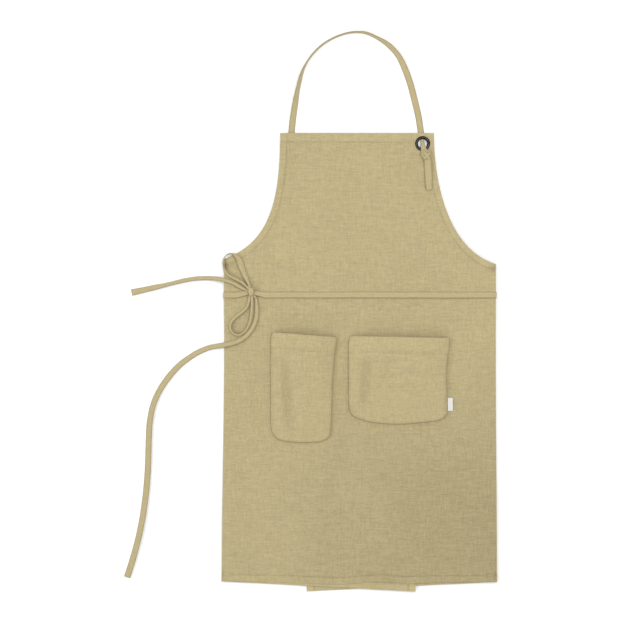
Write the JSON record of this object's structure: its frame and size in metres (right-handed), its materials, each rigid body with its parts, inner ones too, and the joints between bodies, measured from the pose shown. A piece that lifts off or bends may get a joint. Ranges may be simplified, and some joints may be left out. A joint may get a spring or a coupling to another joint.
{
  "type": "bib apron",
  "caption": "Cross-over linen bib apron lying flat, with a neck strap threaded through an eyelet, waist ties tied in a side bow, and pockets.",
  "frame": {"origin": "centre of the bottom of the object's box, where it lies on a table", "axes": "+Y from the hem to the neck strap, +Z out of the apron's front, +X to the wearer's left"},
  "size_m": [0.7028, 1.061, 0.0163],
  "materials": {
    "linen_cloth": "plain-weave washed linen, matt",
    "linen_tape": "the same linen folded in and stitched flat, matt",
    "eyelet_metal": "dark gunmetal plate, polished",
    "woven_label": "satin-woven off-white tag"
  },
  "bodies": {
    "apron": {"front_panel": "linen_cloth", "left_wing": "linen_cloth", "right_wing": "linen_cloth", "bib_top_facing": "linen_cloth", "left_armhole_facing": "linen_cloth", "right_armhole_facing": "linen_cloth", "pen_pocket": "linen_cloth", "patch_pocket": "linen_cloth", "neck_strap_sewn_end": "linen_tape", "neck_strap_threaded_end": "linen_tape", "neck_strap_knot": "linen_tape", "waist_tie_long": "linen_tape", "waist_tie_short": "linen_tape", "bow_knot": "linen_tape", "eyelet_front_ring": "eyelet_metal", "eyelet_back_washer": "eyelet_metal"},
    "neck_loop": {"neck_strap_loop": "linen_tape"},
    "strap_tail": {"neck_strap_tail": "linen_tape"},
    "label": {"side_label": "woven_label"},
    "upper_loop": {"upper_bow_loop": "linen_tape"},
    "lower_loop": {"lower_bow_loop": "linen_tape"},
    "upper_end": {"upper_tie_end": "linen_tape"},
    "lower_end": {"lower_tie_end": "linen_tape"}
  },
  "joints": [
    {"name": "neck_loop_lift", "type": "hinge", "parent": "apron", "child": "neck_loop", "pos_m": [-0.007, 0.3415, 0.0006], "axis": [1, 0, 0], "range_deg": [-90, 110]},
    {"name": "strap_tail_swing", "type": "hinge", "parent": "apron", "child": "strap_tail", "pos_m": [0.1273, 0.2774, 0.0063], "axis": [0, 0, 1], "range_deg": [-20, 20]},
    {"name": "label_flip", "type": "hinge", "parent": "apron", "child": "label", "pos_m": [0.1657, -0.17625, 0.006], "axis": [0, -1, 0], "range_deg": [0, 120]},
    {"name": "upper_loop_lift", "type": "hinge", "parent": "apron", "child": "upper_loop", "pos_m": [-0.212, 0.04815, 0.0115], "axis": [0.864, 0.5035, 0], "range_deg": [0, 70]},
    {"name": "lower_loop_lift", "type": "hinge", "parent": "apron", "child": "lower_loop", "pos_m": [-0.2067, 0.0286, 0.0115], "axis": [-1, 0, 0], "range_deg": [0, 70]},
    {"name": "upper_end_lift", "type": "hinge", "parent": "apron", "child": "upper_end", "pos_m": [-0.2154, 0.0408, 0.0081], "axis": [0.4413, 0.8973, 0], "range_deg": [0, 45]},
    {"name": "lower_end_lift", "type": "hinge", "parent": "apron", "child": "lower_end", "pos_m": [-0.1973, 0.0244, 0.0081], "axis": [-0.9924, -0.1227, 0], "range_deg": [0, 45]}
  ]
}
